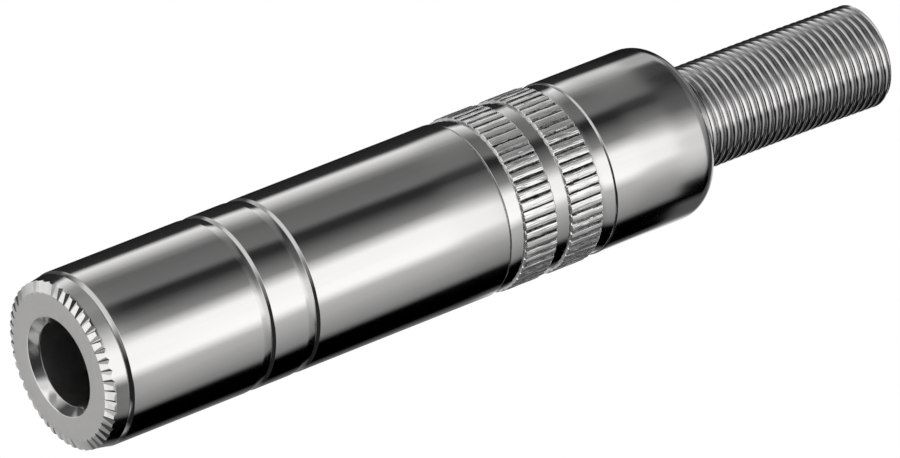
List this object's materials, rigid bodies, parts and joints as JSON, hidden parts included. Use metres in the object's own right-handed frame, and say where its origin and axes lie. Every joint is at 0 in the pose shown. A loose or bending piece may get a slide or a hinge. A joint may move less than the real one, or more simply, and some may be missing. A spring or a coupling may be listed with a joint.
{
  "type": "audio jack socket",
  "caption": "Inline cable socket for a three-pole jack plug: nickel-plated barrel with a serrated mouth, knurled screw-on rear shell and a coil spring as the cable's bend protector",
  "frame": {"origin": "centre of the flat mouth face, on the axis of the plug's bore", "axes": "+Z runs along the axis from the mouth to the end of the bend spring; +X is the side of the tip contact, opposite the ground frame's arm; units are metres"},
  "size_m": [0.0136, 0.0136, 0.0736],
  "materials": {
    "nickel": "polished",
    "spring_wire": "polished",
    "plated_steel": "satin",
    "contact_metal": "satin",
    "laminate": "satin",
    "pale_plastic": "matte",
    "dark_plastic": "satin"
  },
  "bodies": {
    "socket": {"mouth_bushing": "nickel", "front_barrel": "nickel", "lock_washer": "plated_steel", "bushing_nut": "plated_steel", "ground_frame": "plated_steel", "clamp_plate": "plated_steel", "stack_screw_front": "plated_steel", "stack_screw_rear": "plated_steel", "frame_insulator": "laminate", "stack_spacer_1": "laminate", "stack_spacer_2": "laminate", "clamp_insulator": "laminate", "screw_sleeve_front": "pale_plastic", "screw_sleeve_rear": "pale_plastic"},
    "insulating_liner": {"insulating_liner": "dark_plastic"},
    "rear_shell": {"rear_shell": "nickel", "spring_ferrule": "nickel"},
    "bend_spring": {"bend_spring": "spring_wire"},
    "ring_spring": {"ring_spring": "contact_metal"},
    "tip_spring": {"tip_spring": "contact_metal"}
  },
  "joints": [
    {"name": "shell_unscrew", "type": "slide", "parent": "socket", "child": "insulating_liner", "axis": [0, 0, 1], "range_m": [0, 0.006]},
    {"name": "shell_turn", "type": "hinge", "parent": "insulating_liner", "child": "rear_shell", "pos_m": [0, 0, 0.045], "axis": [0, 0, 1], "range_deg": [0, 2160]},
    {"name": "spring_bend", "type": "hinge", "parent": "rear_shell", "child": "bend_spring", "pos_m": [0, 0, 0.0567], "axis": [1, 0, 0], "range_deg": [-30, 30], "stiffness_Nm_per_rad": 0.02, "deforming": ["bend_spring"]},
    {"name": "ring_flex", "type": "hinge", "parent": "socket", "child": "ring_spring", "pos_m": [-0.00375, 0, 0.0335], "axis": [0, 1, 0], "range_deg": [0, 2.1], "stiffness_Nm_per_rad": 0.3, "deforming": ["ring_spring"]},
    {"name": "tip_flex", "type": "hinge", "parent": "socket", "child": "tip_spring", "pos_m": [0.00375, 0, 0.0335], "axis": [0, -1, 0], "range_deg": [0, 7.3], "stiffness_Nm_per_rad": 0.08, "deforming": ["tip_spring"]}
  ],
  "couplings": [
    {"joint": "shell_unscrew", "follows": "shell_turn", "m_per_rad": 0.00015915}
  ]
}
